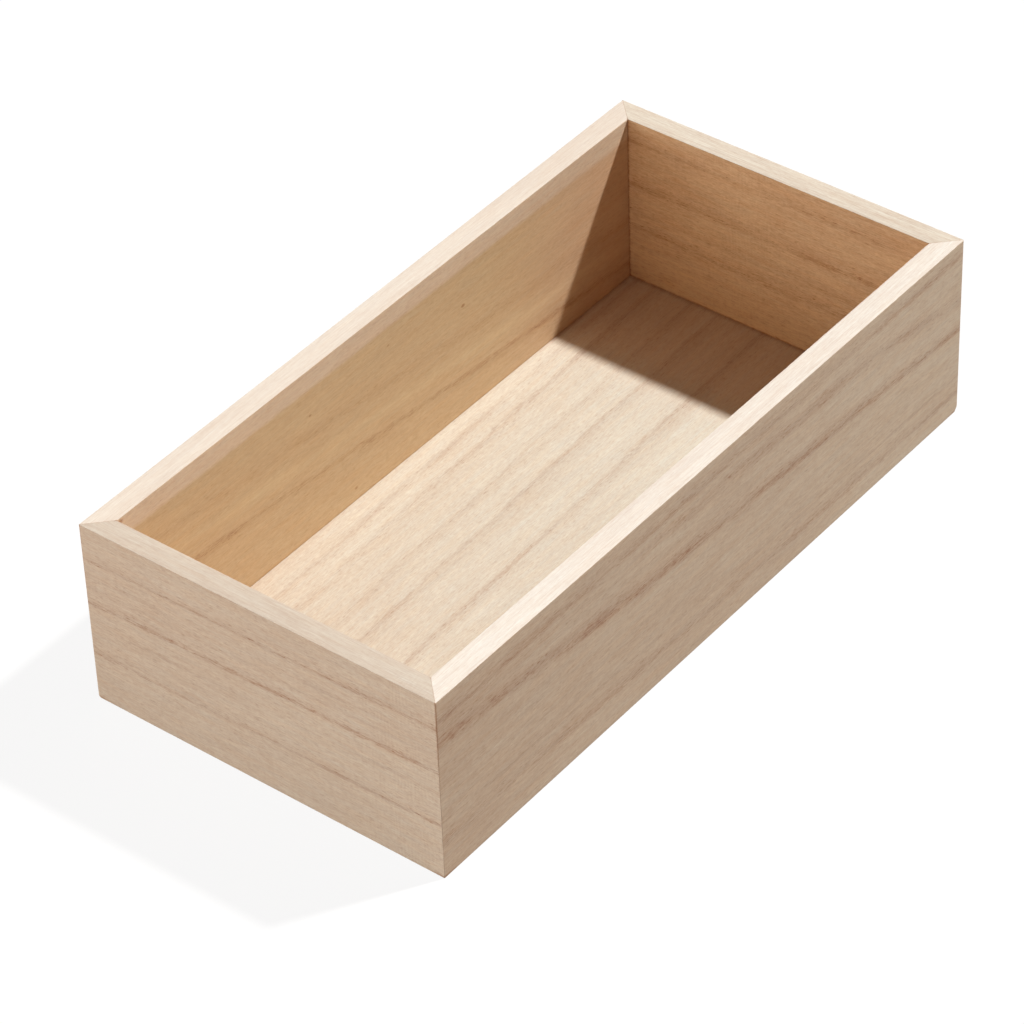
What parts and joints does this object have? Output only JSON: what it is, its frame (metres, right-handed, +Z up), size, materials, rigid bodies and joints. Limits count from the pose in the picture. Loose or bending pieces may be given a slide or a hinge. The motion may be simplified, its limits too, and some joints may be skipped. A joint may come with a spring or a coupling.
{
  "type": "open wooden box",
  "caption": "Open-topped rectangular wooden box for tea ceremony utensils, with mitred walls and a thin bottom panel let into grooves.",
  "frame": {"origin": "middle of the underside, on the surface that the box stands on", "axes": "+Z up, out of the open top; +Y along the length, from the front wall to the back wall; +X along the width, towards the right wall"},
  "size_m": [0.15, 0.3, 0.0765],
  "materials": {
    "front_wall_wood": "bare, smooth, matt",
    "back_wall_wood": "bare, smooth, matt",
    "left_wall_wood": "bare, smooth, matt",
    "right_wall_wood": "bare, smooth, matt",
    "bottom_panel_wood": "bare, smooth, matt"
  },
  "bodies": {
    "root": {"front_wall": "front_wall_wood", "back_wall": "back_wall_wood", "left_wall": "left_wall_wood", "right_wall": "right_wall_wood", "bottom_panel": "bottom_panel_wood"}
  },
  "joints": []
}
